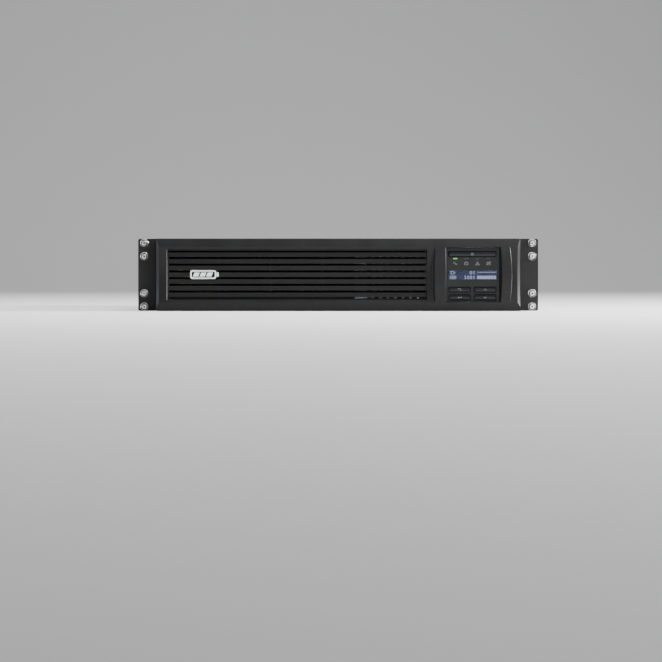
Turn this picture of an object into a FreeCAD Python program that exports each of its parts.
"""A rackmount UPS, two rack units high, in millimetres.

The frame: +Z is up, the front faces -Y and +X is to the right of a person who looks at the front.
The origin lies on the underside, half-way across, in the plane where the rack ears meet the rack.
"""
import FreeCAD
import Part
import math
import os
import re
import Sketcher

os.makedirs("parts", exist_ok=True)
doc = FreeCAD.newDocument("rackmount_ups")

# The driving dimensions. Every other size is worked out from these.
CELLS = {
    # the steel case
    "case_half": 216.0,
    "case_tall": 86.5,
    "case_deep": 436.0,
    "case_front": -2.5,
    "skin": 1.2,
    "flange": 11.0,
    "divider_left": 14.0,
    "bulkhead": 352.0,
    # the rack ears and the hole pattern of a 19 inch rack
    "ear_reach": 240.0,
    "ear_thick": 2.0,
    "ear_leg": 60.0,
    "rack_half": 232.55,
    "rack_outer": 38.1,
    "rack_inner": 22.225,
    # the front bezel: a barrel-shaped front with two scooped fields between two rails
    "bezel_half": 216.6,
    "bezel_back": -4.6,
    "bezel_front": -38.0,
    "barrel": 140.0,
    "rail": 10.0,
    "scoop_round": 113.0,
    "scoop_floor": -29.0,
    "pillar_left": 115.7,
    "pillar_right": 204.0,
    "shell": 2.4,
    "rim_round": 1.3,
    "facet": 3.2,
    "grip_round": 277.0,
    "neck_round": 553.0,
    "window_draft": 0.42,
    "bright_edge": 0.9,
    # the louvred opening of the bezel
    "vent_left": -203.5,
    "vent_right": 105.8,
    "vent_low": 13.4,
    "vent_high": 73.4,
    "slat_pitch": 8.0,
    "slat_face": 5.3,
    "slat_rise": 2.4,
    "rib_thick": 1.6,
    # the display window and what sits in it
    "window_left": 128.4,
    "window_right": 192.1,
    "window_low": 10.6,
    "window_high": 76.1,
    "panel_front": -31.0,
    "panel_thick": 1.5,
    "gap": 0.4,
    "slack": 0.7,
    "button_proud": 1.2,
    "key_round": 4.6,
    "lamp_level": 62.5,
    "lcd_low": 37.2,
    "lcd_high": 48.8,
    "lcd_left": 131.2,
    "lcd_right": 189.3,
    # the battery bay
    "door_front": -4.2,
    "door_right": 15.6,
    "tray_left": -201.8,
    "tray_right": 4.2,
    "tray_front": 10.0,
    "block_long": 151.0,
    "block_wide": 94.0,
    "block_tall": 65.0,
    # fasteners
    "rack_screw": 2.5,
    "rack_head": 4.8,
    "head_tall": 3.2,
    "dome_round": 6.0,
    "small_screw": 1.5,
    "small_head": 2.8,
    # the cooling fan
    "fan_size": 80.0,
    "fan_thick": 25.0,
    "fan_x": 165.0,
    "fan_bore": 38.0,
    "fan_hub": 16.0,
    "fan_pitch": 71.5,
    # the places of the door's thumbscrews and the bezel's ball studs, from the middle
    "fastener_x": 208.8,
    "thumb_low": 26.0,
    "stud_low": 7.5,
    # the electronics
    "board_level": 10.0,
    "board_thick": 1.6,
    "core_x": 115.0,
    "core_front": 60.0,
    "core_back": 130.0,
}

sheet = doc.addObject("Spreadsheet::Sheet", "dims")
for row, (alias, number) in enumerate(CELLS.items(), start=1):
    sheet.set(f"A{row}", alias)
    sheet.set(f"B{row}", str(number))
    sheet.setAlias(f"B{row}", alias)
doc.recompute()

NODES = []


def spelled(rule):
    """Write a rule in the sheet's names as an expression of this document."""
    def full(word):
        return f"dims.{word[0]}" if word[0] in CELLS else word[0]
    return re.sub(r"[a-z_]+", full, str(rule))


def bind(item, place, rule):
    item.setExpression(place, spelled(rule))


def number(rule):
    """The present value of a rule, in millimetres."""
    return float(sheet.evalExpression(spelled(rule)))


def node(item, label):
    """Mark a finished sub-part. Its label names its file."""
    item.Label = label
    NODES.append(item)
    return item


def block(across, deep, high):
    """A box between two planes along each axis."""
    item = doc.addObject("Part::Box", "block")
    spans = {"x": ("Length", across), "y": ("Width", deep), "z": ("Height", high)}
    for letter, (size, (low, top)) in spans.items():
        bind(item, size, f"({top}) - ({low})")
        bind(item, f"Placement.Base.{letter}", low)
    return item


TURNS = {
    "x": FreeCAD.Rotation(FreeCAD.Vector(0, 1, 0), 90),
    "y": FreeCAD.Rotation(FreeCAD.Vector(1, 0, 0), -90),
    "z": FreeCAD.Rotation(),
}


def put(item, axis, side, level):
    """Turn a round primitive on to an axis and bind its base point.

    side holds the other two coordinates, in x, y, z order.
    """
    item.Placement = FreeCAD.Placement(FreeCAD.Vector(), TURNS[axis])
    rest = [letter for letter in "xyz" if letter != axis]
    for letter, rule in zip(rest + [axis], [*side, level]):
        bind(item, f"Placement.Base.{letter}", rule)


def rod(axis, side, span, radius):
    """A round bar along an axis."""
    item = doc.addObject("Part::Cylinder", "rod")
    low, top = span
    put(item, axis, side, low)
    bind(item, "Radius", radius)
    bind(item, "Height", f"({top}) - ({low})")
    return item


def ball(centre, radius):
    item = doc.addObject("Part::Sphere", "ball")
    put(item, "z", centre[:2], centre[2])
    bind(item, "Radius", radius)
    return item


def ring(axis, side, level, radius, wire):
    """A torus about an axis."""
    item = doc.addObject("Part::Torus", "ring")
    put(item, axis, side, level)
    bind(item, "Radius1", radius)
    bind(item, "Radius2", wire)
    return item


def joined(pieces):
    item = doc.addObject("Part::MultiFuse", "joined")
    item.Shapes = pieces
    return item


def group(pieces):
    """Separate solids that share one node."""
    item = doc.addObject("Part::Compound", "group")
    item.Links = pieces
    return item


def without(base, cutters):
    item = doc.addObject("Part::Cut", "cut")
    item.Base = base
    item.Tool = cutters[0] if len(cutters) == 1 else group(cutters)
    return item


# The origin plane across each axis, and which way the plane's normal points along that axis.
PLANES = {"x": ("YZ_Plane", 1), "y": ("XZ_Plane", -1), "z": ("XY_Plane", 1)}


def rectangle(low_across, top_across, low_up, top_up):
    return [(low_across, low_up), (top_across, low_up), (top_across, top_up), (low_across, top_up)]


def disc(across, up, radius):
    return {"centre": (across, up), "radius": radius}


class Limits:
    """The constraints of one sketch, added together so that it is solved once."""

    def __init__(self, sketch):
        self.sketch = sketch
        self.constraints = []
        self.rules = []

    def add(self, rule, kind, *rest):
        """Keep a constraint. A rule gives its value and stays bound to it."""
        value = [] if rule is None else [number(rule)]
        self.constraints.append(Sketcher.Constraint(kind, *rest, *value))
        self.rules.append(rule)

    def apply(self):
        self.sketch.addConstraint(self.constraints)
        for index, rule in enumerate(self.rules):
            if rule is not None:
                bind(self.sketch, f"Constraints[{index}]", rule)


def add_circle(sketch, limits, outline):
    across, up = outline["centre"]
    place = FreeCAD.Vector(number(across), number(up), 0)
    curve = sketch.addGeometry(Part.Circle(place, FreeCAD.Vector(0, 0, 1), number(outline["radius"])))
    limits.add(across, "DistanceX", curve, 3)
    limits.add(up, "DistanceY", curve, 3)
    limits.add(outline["radius"], "Radius", curve)


def edge_shape(start, end, bend):
    """A straight edge, or an arc when bend is a radius. A negative radius bulges to the other side."""
    if not bend:
        return Part.LineSegment(start, end)
    radius = number(bend)
    half = start.distanceToPoint(end) / 2
    rise = math.copysign(abs(radius) - math.sqrt(radius * radius - half * half), radius)
    across = (end - start).normalize()
    crown = (start + end) / 2 + FreeCAD.Vector(across.y, -across.x, 0) * rise
    return Part.Arc(start, crown, end)


def add_polygon(sketch, limits, outline):
    """A closed outline. A corner is (across, up), or (across, up, bend) before a curved edge."""
    corners = [FreeCAD.Vector(number(corner[0]), number(corner[1]), 0) for corner in outline]
    edges = []
    for index, corner in enumerate(outline):
        bend = corner[2] if len(corner) == 3 else None
        curve = sketch.addGeometry(edge_shape(corners[index], corners[(index + 1) % len(corners)], bend))
        if bend:
            limits.add(f"abs({bend})", "Radius", curve)
        forward = sketch.getPoint(curve, 1).distanceToPoint(corners[index]) < 1e-6
        edges.append((curve, 1, 2) if forward else (curve, 2, 1))
    for index, (curve, first, last) in enumerate(edges):
        following = edges[(index + 1) % len(edges)]
        limits.add(None, "Coincident", curve, last, following[0], following[1])
        limits.add(outline[index][0], "DistanceX", curve, first)
        limits.add(outline[index][1], "DistanceY", curve, first)


def sketch_on(body, axis, level, outlines):
    plane, way = PLANES[axis]
    sketch = body.newObject("Sketcher::SketchObject", "outline")
    support = [part for part in body.Origin.OriginFeatures if part.Role == plane][0]
    sketch.AttachmentSupport = (support, [""])
    sketch.MapMode = "FlatFace"
    bind(sketch, "AttachmentOffset.Base.z", f"{way} * ({level})")
    limits = Limits(sketch)
    for outline in outlines:
        if isinstance(outline, dict):
            add_circle(sketch, limits, outline)
        else:
            add_polygon(sketch, limits, outline)
    limits.apply()
    return sketch


def pad(body, axis, span, *outlines):
    """Add what the outlines enclose, from one level to another along an axis."""
    low, top = span
    feature = body.newObject("PartDesign::Pad", "pad")
    feature.Profile = sketch_on(body, axis, low if PLANES[axis][1] > 0 else top, outlines)
    bind(feature, "Length", f"({top}) - ({low})")
    return feature


def pocket(body, axis, span, *outlines):
    """Cut away what the outlines enclose. Without any material removed the build stops."""
    low, top = span
    doc.recompute()
    before = body.Shape.Volume
    feature = body.newObject("PartDesign::Pocket", "pocket")
    feature.Profile = sketch_on(body, axis, top if PLANES[axis][1] > 0 else low, outlines)
    bind(feature, "Length", f"({top}) - ({low})")
    doc.recompute()
    if body.Shape.Volume > before - 0.01:
        raise RuntimeError(f"a pocket of {body.Name} removes nothing")
    return feature


def repeat(body, axis, pitch, times):
    """Repeat the body's last feature along an axis."""
    feature = body.newObject("PartDesign::LinearPattern", "pattern")
    feature.Originals = [body.Tip]
    role = {"x": "X_Axis", "y": "Y_Axis", "z": "Z_Axis"}[axis]
    direction = [part for part in body.Origin.OriginFeatures if part.Role == role][0]
    feature.Direction = (direction, [""])
    feature.Length = pitch * (times - 1)
    feature.Occurrences = times
    body.Tip = feature
    return feature


def dress(body, kind, size, wanted):
    """Fillet or chamfer the edges of the body's tip that a test picks."""
    doc.recompute()
    edges = [f"Edge{index}" for index, edge in enumerate(body.Tip.Shape.Edges, start=1) if wanted(edge)]
    base = body.Tip
    feature = body.newObject(f"PartDesign::{kind}", kind.lower())
    feature.Base = (base, edges)
    bind(feature, "Radius" if kind == "Fillet" else "Size", size)
    return feature


def runs_along(edge, axis):
    """Is the edge straight and parallel to an axis?"""
    ends = edge.BoundBox
    lengths = {"x": ends.XLength, "y": ends.YLength, "z": ends.ZLength}
    return lengths.pop(axis) > 1e-3 and max(lengths.values()) < 1e-3


def new_body(label):
    return node(doc.addObject("PartDesign::Body", label), label)



# ---- the steel case ----

MIDDLE = "case_tall / 2"
INNER = "case_half - skin"
ROOF = "case_tall - skin"


def vent_column(start, levels, long, tall):
    """One column of a vent grid."""
    return [rectangle(start, start + long, level, level + tall) for level in levels]


def make_chassis_tray():
    """The floor, the two vented sides and the left front flange that takes the door's thumbscrews."""
    body = new_body("chassis_tray")
    pad(body, "y", ("case_front", "case_deep - skin"), [
        ("-case_half", 0), ("case_half", 0), ("case_half", ROOF), (INNER, ROOF),
        (INNER, "skin"), (f"-({INNER})", "skin"), (f"-({INNER})", ROOF), ("-case_half", ROOF)])
    pad(body, "y", ("case_front", "case_front + skin"),
        rectangle(f"-({INNER})", f"-({INNER}) + flange", "skin", ROOF))
    pocket(body, "y", ("case_front - 1", "case_front + skin + 1"),
           disc("-fastener_x", "thumb_low", 2.4), disc("-fastener_x", "case_tall - thumb_low", 2.4),
           disc("-fastener_x", "stud_low", 3.7), disc("-fastener_x", "case_tall - stud_low", 3.7))
    pocket(body, "x", ("case_half - skin - 1", "case_half + 1"),
           *vent_column(180, (24, 36, 48, 60), 8, 3.2))
    repeat(body, "y", 14, 16)
    pocket(body, "x", ("-case_half - 1", "case_half + 1"),
           *[disc(along, level, "small_screw + 0.3") for along, level in COVER_SCREWS])


def make_top_cover():
    """The lid. Inside each side hangs a lip, cut away at the flange, the bulkhead and the back."""
    body = new_body("top_cover")
    pad(body, "y", ("case_front", "case_deep"), [
        ("-case_half", ROOF), (f"-({INNER})", ROOF), (f"-({INNER})", "case_tall - 9"),
        (f"-({INNER}) + skin", "case_tall - 9"), (f"-({INNER}) + skin", ROOF),
        (f"{INNER} - skin", ROOF), (f"{INNER} - skin", "case_tall - 9"), (INNER, "case_tall - 9"),
        (INNER, ROOF), ("case_half", ROOF), ("case_half", "case_tall"), ("-case_half", "case_tall")])
    pocket(body, "z", ("case_tall - 10", ROOF),
           rectangle("-case_half", "case_half", "case_front - 1", "case_front + 2 * skin"),
           rectangle("-case_half", "case_half", "case_deep - 2 * skin", "case_deep + 1"),
           rectangle("-case_half", f"3 * skin - ({INNER})", "bulkhead - 2 * skin", "bulkhead + skin"))


def make_front_panel():
    """The fixed panel to the right of the battery door, vented behind the louvres."""
    body = new_body("front_panel")
    pad(body, "y", ("case_front - skin", "case_front"), rectangle(20, INNER, "skin", ROOF))
    pocket(body, "y", ("case_front - skin - 1", "case_front + 1"),
           *vent_column(34, range(13, 70, 8), 6.4, 4))
    repeat(body, "x", 9, 8)
    pocket(body, "y", ("case_front - skin - 1", "case_front + 1"),
           disc("fastener_x", "stud_low", 3.7), disc("fastener_x", "case_tall - stud_low", 3.7),
           rectangle("window_left + 12", "window_left + 34", 20, 32))


def make_bay_divider():
    """The wall beside the battery bay, which turns to close the bay at the back."""
    body = new_body("bay_divider")
    pad(body, "z", ("skin", ROOF), [
        ("divider_left", "case_front"), ("divider_left + skin", "case_front"),
        ("divider_left + skin", "bulkhead"), (f"-({INNER})", "bulkhead"),
        (f"-({INNER})", "bulkhead - skin"), ("divider_left", "bulkhead - skin")])
    pocket(body, "y", ("bulkhead - skin - 1", "bulkhead + 1"), rectangle(-112.5, -85.5, 42.5, 61.5))


def make_door_strike():
    """The zinc-plated strip that the battery door shuts against."""
    body = new_body("door_strike")
    pad(body, "y", ("case_front - 2 * skin", "case_front - skin"), rectangle(20, 26.5, 12, 75))
    pad(body, "x", (25.3, 26.5), rectangle("case_front - 5", "case_front - 2 * skin", 24, 62))
    pocket(body, "y", ("case_front - 3 * skin", "case_front - skin"),
           disc(22.8, 18, 1.6), disc(22.8, 69, 1.6))


def make_rear_panel():
    """The back of the case, cut out for the fan, the sockets and the ports."""
    body = new_body("rear_panel")
    pad(body, "y", ("case_deep - skin", "case_deep"), rectangle("-case_half", "case_half", 0, ROOF))
    corners = [disc(f"fan_x + {side} * fan_pitch / 2", f"{MIDDLE} + {end} * fan_pitch / 2", 1.8)
               for side in (-1, 1) for end in (-1, 1)]
    pocket(body, "y", ("case_deep - 2 * skin", "case_deep + 1"),
           disc("fan_x", MIDDLE, "fan_bore"), *corners)
    pocket(body, "y", ("case_deep - 2 * skin", "case_deep + 1"),
           rectangle(-68, 46, 10, 78), rectangle(76.5, 107.5, 51.5, 72.5), disc(92, 24, 6.2),
           rectangle(-198, -92, 50, 76), rectangle(-196, -184, 19, 30), rectangle(-173, -157, 18, 32),
           rectangle(-146, -124, 19, 31), disc(-104, 24, 2.2))


# ---- the rack ears and the case's fasteners ----

SIDES = {"left": -1, "right": 1}
RACK_LEVELS = [f"{MIDDLE} + {sign} * {reach}" for sign in (-1, 1) for reach in ("rack_outer", "rack_inner")]


def make_rack_ear(label, side):
    """An angle: one leg lies on the case's side, the other carries the rack screws."""
    body = new_body(label)
    pad(body, "y", ("-ear_thick", 0), rectangle(
        *sorted_pair(side, "case_half", "ear_reach"), 0, "case_tall"))
    pad(body, "y", (0, "ear_leg"), rectangle(
        *sorted_pair(side, "case_half", "case_half + ear_thick"), 4, "case_tall - 4"))
    pocket(body, "y", ("-ear_thick - 1", 1), *[disc(f"{side} * rack_half", level, "rack_screw + 1.2")
                                               for level in RACK_LEVELS])
    low, top = sorted_pair(side, "case_half", "case_half + ear_thick + 1")
    pocket(body, "x", (low, top), *[disc(along, level, "small_screw + 0.3") for along, level in EAR_SCREWS])
    dress(body, "Fillet", 2.5, lambda edge: runs_along(edge, "y") and abs(edge.BoundBox.Center.x) > 239)


def sorted_pair(side, near, far):
    """Two distances from the middle as left and right limits on one side of it."""
    return (near, far) if side > 0 else (f"-({far})", f"-({near})")


EAR_SCREWS = [(15, 16), (15, 70), (48, 43.25)]
COVER_SCREWS = [(100, 76), (250, 76), (400, 76)]


def outward(face, way, near, far):
    """The span between two distances out from a face that looks along way, 1 or -1."""
    ends = (f"{face} + {way} * ({near})", f"{face} + {way} * ({far})")
    return ends if way > 0 else ends[::-1]


def pan_screw(axis, side, face, way, shank, head, long, tall):
    """A cross-recessed pan head screw. It stands on a face and its shank points back against way."""
    solid = joined([rod(axis, side, outward(face, way, 0, tall), head),
                    rod(axis, side, outward(face, way, f"-({long})", 0), shank)])
    rest = [letter for letter in "xyz" if letter != axis]
    arms = []
    for shares in ((0.62, 0.13), (0.13, 0.62)):
        spans = {axis: outward(face, way, f"({tall}) * 0.45", f"({tall}) + 1")}
        for letter, centre, share in zip(rest, side, shares):
            spans[letter] = (f"({centre}) - {share} * {head}", f"({centre}) + {share} * {head}")
        arms.append(block(spans["x"], spans["y"], spans["z"]))
    return without(solid, [joined(arms)])


def make_case_screws():
    ears, covers = [], []
    for side in SIDES.values():
        for along, level in EAR_SCREWS:
            ears.append(pan_screw("x", (along, level), f"{side} * (case_half + ear_thick)", side,
                                  "small_screw", "small_head", "ear_thick", 1.4))
        for along, level in COVER_SCREWS:
            covers.append(pan_screw("x", (along, level), f"{side} * case_half", side,
                                    "small_screw", "small_head", "skin", 1.4))
    node(group(ears + covers), "case_screws")


def make_rack_screws():
    """Eight screws with domed heads: each head keeps what lies inside a sphere."""
    screws = []
    for side in SIDES.values():
        for level in RACK_LEVELS:
            place = (f"{side} * rack_half", level)
            screw = pan_screw("y", place, "-ear_thick", -1,
                              "rack_screw", "rack_head", "ear_thick + 14", "head_tall")
            dome = ball((place[0], "dome_round - head_tall - ear_thick", place[1]), "dome_round")
            shank = rod("y", place, ("-ear_thick", 20), "rack_head + 1")
            domed = doc.addObject("Part::MultiCommon", "domed")
            domed.Shapes = [screw, joined([dome, shank])]
            screws.append(domed)
    node(group(screws), "rack_screws")


# ---- the front bezel ----

RAIL_TOP = "case_tall - rail"


def barrel_at(level):
    """The y of the barrel-shaped front at a height."""
    return f"bezel_front + barrel - sqrt(barrel * barrel - (({level}) - {MIDDLE})^2)"


LIP = f"{barrel_at('rail')} + 3.2"
HOLLOW = "scoop_floor + shell"
TRIM = "bezel_front - 8"


def make_front_bezel():
    """A moulded cover: two rails, two scooped fields and a barrel-shaped pillar round the display."""
    body = new_body("front_bezel")
    pad(body, "x", ("-bezel_half", "bezel_half"), [
        ("bezel_back", 0), ("bezel_back", "case_tall"), (barrel_at("case_tall"), "case_tall", "barrel"),
        (barrel_at(RAIL_TOP), RAIL_TOP, "-scoop_round"), (barrel_at("rail"), "rail"), (LIP, 0)])
    dress(body, "Fillet", "rim_round", is_outer_rim)
    add_pillar(body)
    dress(body, "Chamfer", "facet", is_field_end)
    for side in SIDES.values():
        cut_rail_facet(body, side)
    pocket(body, "y", (HOLLOW, "bezel_back + 1"),
           rectangle("-bezel_half + shell", "bezel_half - shell", "shell", "case_tall - shell"))
    pocket(body, "y", (TRIM, f"{HOLLOW} + 1"), rectangle("vent_left", "vent_right", "vent_low", "vent_high"),
           rectangle("window_left", "window_right", "window_low", "window_high"))
    pocket(body, "z", ("window_low", "window_high"), [
        ("window_left", "panel_front"), ("window_left", TRIM),
        (f"window_right + window_draft * (panel_front - ({TRIM}))", TRIM), ("window_right", "panel_front")])
    dress(body, "Chamfer", "bright_edge", is_opening_left)


def is_opening_left(edge):
    """The bowed front edge on the left of the vent and of the display's window."""
    box = edge.BoundBox
    bowed = box.XLength < 0.01 and box.ZLength > 50 and box.YLength > 1
    return bowed and any(abs(box.Center.x - number(left)) < 0.01 for left in ("vent_left", "window_left"))


def add_pillar(body):
    """The pillar's sides bow outward, and a round fillet joins its left side to the field."""
    pad(body, "y", ("bezel_front - 0.5", "scoop_floor + 1"), [
        ("pillar_left", "rail"), ("pillar_right", "rail", "grip_round"), ("pillar_right", RAIL_TOP),
        ("pillar_left", RAIL_TOP, "neck_round")])
    reach = "(scoop_floor - bezel_front)"
    pad(body, "z", ("rail", RAIL_TOP), [
        (f"pillar_left - {reach}", "scoop_floor + 1"), ("pillar_left + 2", "scoop_floor + 1"),
        ("pillar_left + 2", "bezel_front"), ("pillar_left", "bezel_front", reach),
        (f"pillar_left - {reach}", "scoop_floor")])
    pocket(body, "x", ("pillar_left - 12", "pillar_right + 6"), [
        (barrel_at("rail"), "rail", "-barrel"), (barrel_at(RAIL_TOP), RAIL_TOP),
        (TRIM, RAIL_TOP), (TRIM, "rail")])


def cut_rail_facet(body, side):
    """A facet at the end of the top rail, as wide as the field's at its foot and nothing at its top."""
    sections = []
    for level, wide in ((RAIL_TOP, "facet"), ("case_tall + 0.2", 0.1)):
        front = barrel_at(level)
        sections.append(sketch_on(body, "z", level, [[
            (f"{side} * (bezel_half - ({wide}) - 1)", f"{front} - 1"),
            (f"{side} * (bezel_half + 1)", f"{front} - 1"),
            (f"{side} * (bezel_half + 1)", f"{front} + {wide} + 1")]]))
    feature = body.newObject("PartDesign::SubtractiveLoft", "facet")
    feature.Profile = sections[0]
    feature.Sections = sections[1:]
    feature.Ruled = True
    doc.recompute()


def is_outer_rim(edge):
    """The long front edges of the bezel's top and bottom."""
    box = edge.BoundBox
    return runs_along(edge, "x") and box.Center.y < -20 and not 1 < box.Center.z < number("case_tall") - 1


def is_field_end(edge):
    """The curved edge at either end of a scooped field."""
    box = edge.BoundBox
    return box.XLength < 1e-3 and abs(box.Center.x) > 210 and 60 < box.ZLength < 70 and box.Center.y < -20


SLATS = 7
SLAT_FRONT = "scoop_floor + 1.5"
SLAT_DEEP = 9
GRILLE_BACK = f"{SLAT_FRONT} + 15"
RIBS = [-142.8, -80.8, -18.8, 43.4]
CLIPS = [-187, -50, 88]


def slat_outline(index):
    """The section of one sloping slat. Seen from the front, only a thin slit shows between two slats."""
    centre = f"{MIDDLE} + ({index} - {(SLATS - 1) / 2}) * slat_pitch"
    low = f"{centre} - slat_face / 2"
    back = f"{SLAT_FRONT} + {SLAT_DEEP}"
    return [(SLAT_FRONT, low), (SLAT_FRONT, f"{low} + slat_face"), (back, f"{low} + slat_face + slat_rise"),
            (back, f"{low} + slat_rise + slat_face - 1.6"), (f"{SLAT_FRONT} + 1.6", low)]


def make_louvre_grille():
    """Seven slats in a frame, with ribs behind them and clips that snap on to the bezel."""
    body = new_body("louvre_grille")
    play = 0.2
    outer = rectangle(f"vent_left + {play}", f"vent_right - {play}",
                      f"vent_low + {play}", f"vent_high - {play}")
    inner = rectangle(f"vent_left + {play + 1.6}", f"vent_right - {play + 1.6}",
                      f"vent_low + {play + 1.4}", f"vent_high - {play + 1.4}")
    pad(body, "y", (SLAT_FRONT, GRILLE_BACK), outer, inner)
    pad(body, "y", (f"{HOLLOW} + 0.1", f"{HOLLOW} + 1.6"), inner,
        rectangle("vent_left - 3", "vent_right + 3", "vent_low - 3", "vent_high + 3"))
    pad(body, "x", ("vent_left + 1", "vent_right - 1"), *[slat_outline(index) for index in range(SLATS)])
    pad(body, "y", (f"{SLAT_FRONT} + {SLAT_DEEP - 4}", GRILLE_BACK),
        *[rectangle(f"{rib} - rib_thick / 2", f"{rib} + rib_thick / 2", "vent_low + 1", "vent_high - 1")
          for rib in RIBS])
    for level in ("vent_low - 3.4", "vent_high + 0.4"):
        pad(body, "y", (f"{HOLLOW} + 1", GRILLE_BACK),
            *[rectangle(clip - 5, clip + 5, level, f"{level} + 3") for clip in CLIPS])


def make_bezel_badge():
    """A plain rounded plate on the louvres, with a battery outline and three bars."""
    body = new_body("bezel_badge")
    face = f"{SLAT_FRONT} - 1.2"
    pad(body, "y", (face, SLAT_FRONT), rectangle(-179, -140, 37.5, 49.5))
    dress(body, "Fillet", 2.5, lambda edge: runs_along(edge, "y"))
    low, top = 39.6, 47.4
    pad(body, "y", (f"{face} - 0.5", face), rectangle(-175.5, -145, low, top),
        rectangle(-174.3, -146.2, low + 1.2, top - 1.2))
    pad(body, "y", (f"{face} - 0.5", face), rectangle(-145, -143, low + 2.4, top - 2.4))
    pad(body, "y", (f"{face} - 0.5", face),
        *[rectangle(left, left + 7.4, low + 2.2, top - 2.2) for left in (-172.9, -163.9, -154.9)])


def make_ball_studs():
    """Four studs on the bezel that press into the case."""
    studs = []
    for side in SIDES.values():
        for level in ("stud_low", "case_tall - stud_low"):
            place = (f"{side} * fastener_x", level)
            studs.append(joined([
                rod("y", place, (HOLLOW, "bezel_back"), 3.4),
                rod("y", place, ("bezel_back", "case_front + 1"), 1.8),
                ball((place[0], "case_front + 3", place[1]), 3.2)]))
    node(group(studs), "bezel_ball_studs")


# ---- the battery door ----

DOOR_BACK = "door_front + skin"


def make_battery_door():
    """A steel plate with vent slots and a stiffening lip along its top and its bottom."""
    body = new_body("battery_door")
    pad(body, "y", ("door_front", DOOR_BACK),
        rectangle("-case_half + 0.6", "door_right", "skin + gap", f"{ROOF} - gap"))
    for low in ("skin + 1.5", f"{ROOF} - 1.5 - skin"):
        pad(body, "y", (DOOR_BACK, f"{DOOR_BACK} + 6"),
            rectangle(-196, "divider_left - 4", low, f"{low} + skin"))
    pocket(body, "y", ("door_front - 1", f"{DOOR_BACK} + 1"),
           *vent_column(-149, (61.5, 53.5, 21.5), 3.6, 4))
    repeat(body, "x", 5.9, 22)
    pocket(body, "y", ("door_front - 1", f"{DOOR_BACK} + 1"),
           disc("-fastener_x", "thumb_low", 2.4), disc("-fastener_x", "case_tall - thumb_low", 2.4),
           disc("-fastener_x", "stud_low", 4.4), disc("-fastener_x", "case_tall - stud_low", 4.4))


def make_thumbscrew(label, level):
    """A captive screw with a grooved head that fingers or a blade can turn."""
    place = ("-fastener_x", level)
    head = rod("y", place, ("door_front - 9.3", "door_front - gap"), 4.2)
    shank = rod("y", place, ("door_front - 1", "case_front + 5"), 2)
    grooves = [rod("y", (f"-fastener_x + 4.4 * cos({angle})", f"{level} + 4.4 * sin({angle})"),
                   ("door_front - 10", "door_front - 2"), 0.5) for angle in range(0, 360, 30)]
    slot = block(("-fastener_x - 5", "-fastener_x + 5"), ("door_front - 10", "door_front - 7.5"),
                 (f"{level} - 0.7", f"{level} + 0.7"))
    node(without(joined([head, shank]), grooves + [slot]), label)


# ---- the battery cartridge ----

BLOCK_LOW = "skin + 4.8"
BLOCK_FRONT = "tray_front + 3"
TRAY_BACK = f"{BLOCK_FRONT} + 2 * block_long + 2"


def make_battery_tray():
    """An open tray that slides in the bay."""
    body = new_body("battery_tray")
    pad(body, "z", ("skin + 0.6", 56), rectangle("tray_left", "tray_right", "tray_front", TRAY_BACK))
    pocket(body, "z", ("skin + 2.6", 57), rectangle("tray_left + 1.5", "tray_right - 1.5", "tray_front + 1.5",
                                                    f"{TRAY_BACK} - 1.5"))
    dress(body, "Fillet", 3, lambda edge: runs_along(edge, "z") and edge.BoundBox.ZLength > 54)


def make_battery_blocks():
    """Four sealed lead-acid batteries on their sides, with the terminals facing the middle channel."""
    blocks = []
    for row in range(2):
        front = f"{BLOCK_FRONT} + {row} * (block_long + 0.4)"
        for left in ("tray_left + 2", "tray_right - 2 - block_wide"):
            case = block((left, f"{left} + block_wide"), (front, f"{front} + block_long"),
                         (BLOCK_LOW, f"{BLOCK_LOW} + block_tall"))
            blocks.append(case)
    node(group(blocks), "battery_blocks")


def make_battery_terminals():
    """Blade terminals in the middle channel, two on each battery."""
    channel = "(tray_left + tray_right) / 2"
    blades = []
    for row in range(2):
        front = f"{BLOCK_FRONT} + {row} * (block_long + 0.4)"
        for along in (14, 131):
            for side in SIDES.values():
                near = f"{channel} + {side} * 1.5"
                wall = f"{channel} + {side} * ((tray_right - tray_left) / 2 - 2 - block_wide)"
                span = (near, wall) if side > 0 else (wall, near)
                blades.append(block(span, (f"{front} + {along}", f"{front} + {along + 6.3}"), (62, 62.8)))
    node(group(blades), "battery_terminals")


def make_battery_leads():
    """Two insulated bus leads along the channel, to the plug at the back."""
    channel = "(tray_left + tray_right) / 2"
    leads = [rod("y", (f"{channel} + {offset}", 50), (f"{BLOCK_FRONT} + 8", TRAY_BACK + " - 1.5"), 2.6)
             for offset in (-3.2, 3.2)]
    node(group(leads), "battery_leads")


def make_battery_handle():
    """A moulded bar across the front of the cartridge to pull it out by."""
    body = new_body("battery_handle")
    front = "case_front + 1.2"
    pad(body, "z", (26, 44), [
        (-132, "tray_front"), (-132, front), (-66, front), (-66, "tray_front"), (-70, "tray_front"),
        (-70, f"{front} + 2.4"), (-128, f"{front} + 2.4"), (-128, "tray_front")])
    dress(body, "Fillet", 1, lambda edge: runs_along(edge, "x"))


def make_battery_plug():
    """The plug at the back of the cartridge, with two contact cavities."""
    body = new_body("battery_plug")
    pad(body, "y", (TRAY_BACK, "bulkhead - skin - 6"), rectangle(-112, -86, 43, 61))
    pocket(body, "y", ("bulkhead - skin - 16", "bulkhead - skin - 5"), rectangle(-109, -101, 46, 58),
           rectangle(-97, -89, 46, 58))


def make_battery_socket():
    """The fixed half of the battery connector, held in the bulkhead."""
    body = new_body("battery_socket")
    pad(body, "y", ("bulkhead - skin - 4", "bulkhead + 14"), rectangle(-112.5, -85.5, 42.5, 61.5))
    pad(body, "y", ("bulkhead - skin - 14", "bulkhead - skin - 4"), rectangle(-108, -102, 51.2, 52.8),
        rectangle(-96, -90, 51.2, 52.8))


# ---- the display module ----

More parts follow.
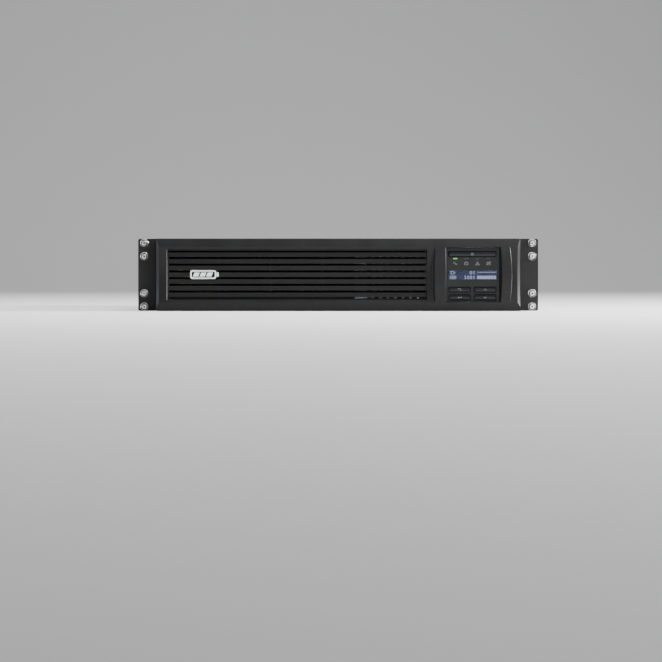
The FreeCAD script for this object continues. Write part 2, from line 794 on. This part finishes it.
PANEL_BACK = "panel_front + panel_thick"
MODULE = ("window_left + gap", "window_right - gap", "window_low + gap", "window_high - gap")
BOARD_FRONT = -21

# Each button: left, right, low, high
BUTTONS = {
    "power_button": (132.1, 187.0, 65.5, 70.5),
    "escape_button": (132.6, 156.5, 23.3, 27.9),
    "up_button": (162.4, 187.0, 23.3, 27.9),
    "enter_button": (132.6, 156.5, 13.8, 19.1),
    "down_button": (162.4, 187.0, 13.8, 19.1),
}
LAMPS = [139.2, 152.6, 165.7, 178.9]
LAMP = (2.3, 0.7)


def grown(outline, by):
    """The limits of a rectangle, moved outward."""
    left, right, low, top = outline
    return (f"{left} - ({by})", f"{right} + ({by})", f"{low} - ({by})", f"{top} + ({by})")


def lamp_outline(centre):
    wide, tall = LAMP
    return (f"{centre} - {wide}", f"{centre} + {wide}", f"lamp_level - {tall}", f"lamp_level + {tall}")


def make_display_housing():
    """A box, open towards the front, that stands on the front panel and holds the display."""
    body = new_body("display_housing")
    pad(body, "y", (PANEL_BACK, "case_front - skin"), rectangle(*MODULE))
    pocket(body, "y", (f"{PANEL_BACK} - 1", "case_front - skin - 1.6"), rectangle(*grown(MODULE, -1.6)))
    pocket(body, "y", ("case_front - skin - 2.6", "case_front - skin + 1"),
           rectangle("window_left + 12", "window_left + 34", 20, 32))


def make_display_faceplate():
    """The matte plate of the display, with openings for the buttons, the lamps and the screen."""
    body = new_body("display_faceplate")
    pad(body, "y", ("panel_front", PANEL_BACK), rectangle(*MODULE))
    openings = [rectangle(*grown(limits, "slack")) for limits in BUTTONS.values()]
    openings += [rectangle(*lamp_outline(lamp)) for lamp in LAMPS]
    openings.append(rectangle("lcd_left", "lcd_right", "lcd_low", "lcd_high"))
    pocket(body, "y", ("panel_front - 1", f"{PANEL_BACK} + 1"), *openings)


def make_button(label, limits):
    """A domed key cap with a flange behind the plate and a stem that reaches its switch."""
    body = new_body(label)
    left, right, low, top = limits
    edge_depth = f"panel_front - button_proud + key_round - sqrt(key_round^2 - ({top} - {low})^2 / 4)"
    pad(body, "x", (left, right), [
        (f"{PANEL_BACK} + slack", low), (f"{PANEL_BACK} + slack", top),
        (edge_depth, top, "key_round"), (edge_depth, low)])
    dress(body, "Fillet", 1.1, lambda edge: runs_along(edge, "y"))
    pad(body, "y", (f"{PANEL_BACK} + slack", f"{PANEL_BACK} + slack + 1"), rectangle(*grown(limits, 0.9)))
    middle = f"({left} + {right}) / 2"
    centre = f"({low} + {top}) / 2"
    pad(body, "y", (f"{PANEL_BACK} + slack + 1", f"{BOARD_FRONT} - 4.3"),
        rectangle(f"{middle} - 1.8", f"{middle} + 1.8", f"{centre} - 1.8", f"{centre} + 1.8"))


def make_display_electronics():
    """The circuit board, its switches, the screen and the lamps."""
    board = block(("window_left + 2.4", "window_right - 2.4"), (BOARD_FRONT, BOARD_FRONT + 1.6),
                  ("window_low + 2.4", "window_high - 2.4"))
    node(board, "display_circuit_board")
    switches = []
    for left, right, low, top in BUTTONS.values():
        centre = ((left + right) / 2, (low + top) / 2)
        base = block((centre[0] - 3, centre[0] + 3), (BOARD_FRONT - 2, BOARD_FRONT),
                     (centre[1] - 3, centre[1] + 3))
        plunger = rod("y", centre, (BOARD_FRONT - 3.0, BOARD_FRONT - 2), 1.6)
        switches.append(joined([base, plunger]))
    node(group(switches), "tactile_switches")
    lens = block(("lcd_left", "lcd_right"), ("panel_front - 0.1", PANEL_BACK), ("lcd_low", "lcd_high"))
    node(lens, "lcd_lens")
    node(block(("lcd_left - 0.6", "lcd_right + 0.6"), (f"{PANEL_BACK} + 0.2", BOARD_FRONT),
               ("lcd_low - 3", "lcd_high + 3")), "lcd_module")
    lamps = []
    for lamp in LAMPS:
        left, right, low, top = lamp_outline(lamp)
        lamps.append(block((left, right), ("panel_front - 0.2", BOARD_FRONT), (low, top)))
    node(lamps[0], "status_light_online")
    node(group(lamps[1:]), "status_lights_unlit")


# ---- the power electronics ----

CORE_WIDE = 120
CORE_LIMB = 20
CORE_LOW = 5
CORE_TALL = 76
BOARD_SPAN = ("divider_left + 12", f"{INNER} - 10")
BOARD_ALONG = (165, 400)
BOARD_TOP = "board_level + board_thick"


def make_transformer():
    """A laminated core with a coil round its middle limb, on a steel foot plate."""
    body = new_body("transformer_core")
    left, right = f"core_x - {CORE_WIDE / 2}", f"core_x + {CORE_WIDE / 2}"
    low, top = CORE_LOW, CORE_LOW + CORE_TALL
    windows = [rectangle(f"core_x + {side} - {CORE_LIMB / 2}", f"core_x + {side} + {CORE_LIMB / 2}",
                         low + CORE_LIMB, top - CORE_LIMB) for side in (-1.5 * CORE_LIMB, 1.5 * CORE_LIMB)]
    pad(body, "y", ("core_front", "core_back"), rectangle(left, right, low, top), *windows)
    coil = new_body("transformer_coil")
    play = 0.3
    limb = rectangle(f"core_x - {CORE_LIMB + play}", f"core_x + {CORE_LIMB + play}",
                     f"core_front - {play}", f"core_back + {play}")
    around = rectangle(f"core_x - {2 * CORE_LIMB - play}", f"core_x + {2 * CORE_LIMB - play}",
                       "core_front - 17", "core_back + 17")
    pad(coil, "z", (low + CORE_LIMB + play, top - CORE_LIMB - play), around, limb)
    dress(coil, "Fillet", 12, lambda edge: runs_along(edge, "z") and abs(edge.BoundBox.Center.x
                                                                        - number("core_x")) > 30)
    foot = new_body("transformer_bracket")
    pad(foot, "y", ("core_front + 10", "core_back - 10"), [
        (f"{left} - 14", "skin"), (f"{right} + 14", "skin"), (f"{right} + 14", "skin + 2"),
        (f"{right} + 2", "skin + 2"), (f"{right} + 2", 60), (right, 60), (right, f"{CORE_LOW}"),
        (left, f"{CORE_LOW}"), (left, 60), (f"{left} - 2", 60), (f"{left} - 2", "skin + 2"),
        (f"{left} - 14", "skin + 2")])


def make_main_board():
    board = block(BOARD_SPAN, BOARD_ALONG, ("board_level", BOARD_TOP))
    corners = [(f"{BOARD_SPAN[0]} + 6", 171), (f"{BOARD_SPAN[1]} - 6", 171),
               (f"{BOARD_SPAN[0]} + 6", 394), (f"{BOARD_SPAN[1]} - 6", 394)]
    holes = [rod("z", place, ("board_level - 1", f"{BOARD_TOP} + 1"), 1.6) for place in corners]
    node(without(board, holes), "main_circuit_board")
    posts = [joined([rod("z", place, ("skin", "board_level"), 3),
                     rod("z", place, ("board_level", BOARD_TOP), 1.5),
                     rod("z", place, (BOARD_TOP, f"{BOARD_TOP} + 1.6"), 2.7)]) for place in corners]
    node(group(posts), "board_standoffs")


HEAT_SINKS = {"battery_side": 62, "mains_side": 152}


def make_heat_sinks():
    """Two finned extrusions that stand along the board, in the fan's air stream."""
    bodies = []
    for left in HEAT_SINKS.values():
        body = doc.addObject("PartDesign::Body", "heat_sink")
        low, top = f"{BOARD_TOP} + 0.2", 62
        fins = [rectangle(left, left + 30, f"{low} + {8 * step}", f"{low} + {8 * step + 1.8}")
                for step in range(7)]
        pad(body, "y", (230, 340), rectangle(left, left + 4, low, top))
        for fin in fins:
            pad(body, "y", (230, 340), fin)
        bodies.append(body)
    node(group(bodies), "heat_sinks")


def make_transistors():
    """Power transistors clamped on the plain side of each heat sink, with three legs each."""
    packages = []
    for left in HEAT_SINKS.values():
        for along in range(240, 330, 22):
            package = block((left - 5, left), (along, along + 16), (32, 52))
            legs = [block((left - 3, left - 2.2), (along + 2.2 + 5 * leg, along + 3.4 + 5 * leg),
                          (BOARD_TOP, 32))
                    for leg in range(3)]
            packages.append(joined([package, *legs]))
    node(group(packages), "power_transistors")


def make_capacitors():
    cans = []
    for across, along in ((40, 190), (66, 190), (92, 190), (118, 190),
                          (112, 250), (112, 276), (112, 302), (112, 328)):
        cans.append(rod("z", (across, along), (BOARD_TOP, 48), 10.5))
    node(group(cans), "capacitors")


def make_relays():
    cases = [block((across, across + 20), (366, 382), (BOARD_TOP, 30)) for across in (36, 64, 92)]
    node(group(cases), "relays")


def make_choke():
    """A toroid choke standing on the board."""
    node(ring("z", (170, 195), f"{BOARD_TOP} + 7.2", 15, 7), "filter_choke")


# ---- the fan ----

FAN_BACK = "case_deep - skin"
FAN_FRONT = f"{FAN_BACK} - fan_thick"
SWEEP = 35


def make_fan_frame():
    """A square frame with a round bore and a motor seat on four struts."""
    body = new_body("fan_frame")
    half = "fan_size / 2"
    holes = [disc(f"fan_x + {side} * fan_pitch / 2", f"{MIDDLE} + {end} * fan_pitch / 2", 2.1)
             for side in (-1, 1) for end in (-1, 1)]
    pad(body, "y", (FAN_FRONT, FAN_BACK), rectangle(f"fan_x - {half}", f"fan_x + {half}",
                                                    f"{MIDDLE} - {half}", f"{MIDDLE} + {half}"),
        disc("fan_x", MIDDLE, "fan_bore"), *holes)
    strut = (f"{FAN_BACK} - 3.5", FAN_BACK)
    pad(body, "y", strut, rectangle("fan_x - fan_bore - 0.5", "fan_x + fan_bore + 0.5",
                                    f"{MIDDLE} - 2", f"{MIDDLE} + 2"))
    pad(body, "y", strut, rectangle("fan_x - 2", "fan_x + 2",
                                    f"{MIDDLE} - fan_bore - 0.5", f"{MIDDLE} + fan_bore + 0.5"))
    pad(body, "y", strut, disc("fan_x", MIDDLE, "fan_hub"))


def make_fan_rotor():
    """The hub with seven pitched blades."""
    centre = ("fan_x", MIDDLE)
    pieces = [rod("y", centre, (f"{FAN_FRONT} + 1", f"{FAN_BACK} - 5"), "fan_hub - 0.5")]
    tilt = FreeCAD.Rotation(FreeCAD.Vector(0, 0, 1), SWEEP)
    middle = FreeCAD.Vector(number("fan_x"), number(f"({FAN_FRONT} + {FAN_BACK}) / 2 - 2"), number(MIDDLE))
    for step in range(7):
        blade = doc.addObject("Part::Box", "blade")
        blade.Length = 1.4
        blade.Width = 20
        bind(blade, "Height", f"fan_bore - fan_hub - 0.6 + 2")
        turn = FreeCAD.Rotation(FreeCAD.Vector(0, 1, 0), 360 / 7 * step).multiply(tilt)
        root = FreeCAD.Vector(-blade.Length.Value / 2, -blade.Width.Value / 2, number("fan_hub") - 2.5)
        blade.Placement = FreeCAD.Placement(middle + turn.multVec(root), turn)
        pieces.append(blade)
    node(joined(pieces), "fan_rotor")


def make_fan_guard():
    """Wire rings on four spokes, with an eye at each corner for its screw."""
    wire = 0.9
    level = f"case_deep + {wire}"
    pieces = [ring("y", ("fan_x", MIDDLE), level, radius, wire) for radius in (9, 18, 27, 37)]
    reach = number("fan_pitch") / math.sqrt(2)
    for corner in range(4):
        turn = FreeCAD.Rotation(FreeCAD.Vector(0, 1, 0), 45 + 90 * corner)
        spoke = doc.addObject("Part::Cylinder", "spoke")
        spoke.Radius = wire
        spoke.Height = reach - 4 - 9
        place = FreeCAD.Vector(number("fan_x"), number(level), number(MIDDLE))
        spoke.Placement = FreeCAD.Placement(place + turn.multVec(FreeCAD.Vector(0, 0, 9)), turn)
        pieces.append(spoke)
    for side in (-1, 1):
        for end in (-1, 1):
            pieces.append(ring("y", (f"fan_x + {side} * fan_pitch / 2", f"{MIDDLE} + {end} * fan_pitch / 2"),
                               level, 3.4, wire))
    node(joined(pieces), "fan_guard")


def make_rear_screws():
    """The fan's four screws, the two of the accessory slot's cover and the earth terminal's screw."""
    screws = []
    for side in (-1, 1):
        for end in (-1, 1):
            place = (f"fan_x + {side} * fan_pitch / 2", f"{MIDDLE} + {end} * fan_pitch / 2")
            screws.append(pan_screw("y", place, "case_deep + 1.8", 1, 1.6, 3.6, 12, 1.8))
    for across in (-200, -90):
        screws.append(pan_screw("y", (across, 63), "case_deep + 1.2", 1, 1.5, 3.2, 1.2, 1.8))
    screws.append(pan_screw("y", (-104, 24), "case_deep", 1, 2, 4, 6, 2.6))
    node(group(screws), "rear_screws")


# ---- the rear connectors ----

INLET = (92, 62)
OUTLETS = [(across, level) for level in (61, 27) for across in (-38, 16)]


def centred(centre, wide, tall):
    across, level = centre
    return rectangle(across - wide / 2, across + wide / 2, level - tall / 2, level + tall / 2)


def is_outside_edge(edge):
    """Edges along y that stand behind the rear panel."""
    return runs_along(edge, "y") and edge.BoundBox.YMin > number("case_deep") - 0.1


def make_power_inlet():
    """A recessed appliance inlet with a screw flange."""
    body = new_body("power_inlet")
    pad(body, "y", ("case_deep - 20", "case_deep"), centred(INLET, 30.6, 20.6))
    pad(body, "y", ("case_deep", "case_deep + 2"), centred(INLET, 50, 24))
    dress(body, "Fillet", 3, is_outside_edge)
    pocket(body, "y", ("case_deep - 16", "case_deep + 3"), centred(INLET, 24.8, 16.8))
    across, level = INLET
    pins = [block((x - 1, x + 1), ("case_deep - 16", "case_deep - 2"), (z - 2, z + 2))
            for x, z in ((across - 7, level - 2), (across, level + 2), (across + 7, level - 2))]
    node(group(pins), "inlet_pins")


def make_power_outlets():
    """A bank of four outlets. Each has a plug groove round an island with three contact slots."""
    body = new_body("power_outlets")
    pad(body, "y", ("case_deep - 18", "case_deep"), rectangle(-68, 46, 10, 78))
    pad(body, "y", ("case_deep", "case_deep + 1.6"), rectangle(-71, 49, 7, 81))
    dress(body, "Fillet", 3, is_outside_edge)
    span = ("case_deep - 14", "case_deep + 3")
    pocket(body, "y", span, *[centred(place, 27.4, 19.4) for place in OUTLETS])
    pad(body, "y", ("case_deep - 14", "case_deep + 1.6"), *[centred(place, 22.4, 14.4) for place in OUTLETS])
    slots = []
    for across, level in OUTLETS:
        slots += [centred((across + shift, level + rise), 2.8, 6)
                  for shift, rise in ((-7, -1), (0, 2), (7, -1))]
    pocket(body, "y", span, *slots)


def make_breaker():
    """A push-to-reset breaker: a threaded body with a ring nut, and its button."""
    place = (92, 24)
    shell = joined([rod("y", place, ("case_deep - 26", "case_deep - skin"), 10),
                    rod("y", place, ("case_deep - skin", "case_deep"), 6),
                    rod("y", place, ("case_deep", "case_deep + 2.2"), 8.5)])
    node(without(shell, [rod("y", place, ("case_deep - 12", "case_deep + 3"), 4.5)]), "breaker_body")
    node(rod("y", place, ("case_deep - 11", "case_deep + 3.4"), 4.2), "breaker_button")


def make_slot_cover():
    """The blank plate over the accessory card slot."""
    body = new_body("accessory_slot_cover")
    pad(body, "y", ("case_deep", "case_deep + 1.2"), rectangle(-206, -84, 46, 80))
    pocket(body, "y", ("case_deep - 1", "case_deep + 2"), disc(-200, 63, 1.6), disc(-90, 63, 1.6))


def make_ports():
    """The USB port, the serial port and the emergency power off terminal."""
    usb = block((-196, -184), ("case_deep - 16", "case_deep + 0.6"), (19, 30))
    throat = block((-194.2, -185.8), ("case_deep - 10", "case_deep + 1"), (20.6, 28.4))
    tongue = block((-192.8, -187.2), ("case_deep - 10", "case_deep - 1"), (22.9, 26.1))
    node(joined([without(usb, [throat]), tongue]), "usb_port")
    serial = block((-173, -157), ("case_deep - 18", "case_deep + 0.6"), (18, 32))
    mouth = block((-170.9, -159.1), ("case_deep - 14", "case_deep + 1"), (21, 28))
    latch = block((-168, -162), ("case_deep - 14", "case_deep + 1"), (19.4, 21))
    node(without(serial, [joined([mouth, latch])]), "serial_port")
    terminal = block((-146, -124), ("case_deep - 10", "case_deep + 4"), (19, 31))
    ways = (-144.6, -138, -131.4)
    doors = [block((left, left + 6), ("case_deep - 4", "case_deep + 5"), (21, 25)) for left in ways]
    screws = [rod("y", (left + 3, 28), ("case_deep + 2", "case_deep + 5"), 1.7) for left in ways]
    node(without(terminal, doors + screws), "emergency_off_terminal")


def make_all():
    make_chassis_tray()
    make_top_cover()
    make_front_panel()
    make_bay_divider()
    make_door_strike()
    make_rear_panel()
    for name, side in SIDES.items():
        make_rack_ear(f"{name}_rack_ear", side)
    make_case_screws()
    make_rack_screws()
    make_front_bezel()
    make_louvre_grille()
    make_bezel_badge()
    make_ball_studs()
    make_battery_door()
    make_thumbscrew("lower_thumbscrew", "thumb_low")
    make_thumbscrew("upper_thumbscrew", "case_tall - thumb_low")
    make_battery_tray()
    make_battery_blocks()
    make_battery_terminals()
    make_battery_leads()
    make_battery_handle()
    make_battery_plug()
    make_battery_socket()
    make_display_housing()
    make_display_faceplate()
    for label, limits in BUTTONS.items():
        make_button(label, limits)
    make_display_electronics()
    make_transformer()
    make_main_board()
    make_heat_sinks()
    make_transistors()
    make_capacitors()
    make_relays()
    make_choke()
    make_fan_frame()
    make_fan_rotor()
    make_fan_guard()
    make_rear_screws()
    make_power_inlet()
    make_power_outlets()
    make_breaker()
    make_slot_cover()
    make_ports()


def write_parts():
    """Stop at any failed object, then write each sub-part to a file of its own."""
    doc.recompute()
    for item in doc.Objects:
        if {"Invalid", "Error"} & set(item.State):
            raise RuntimeError(f"{item.Label} failed: {item.State}")
    for item in NODES:
        if item.Shape.isNull() or not item.Shape.isValid():
            raise RuntimeError(f"{item.Label} has no valid shape")
    for item in NODES:
        item.Shape.exportStep(f"parts/{item.Label}.step")
    print(f"{len(NODES)} sub-parts written")


make_all()
write_parts()
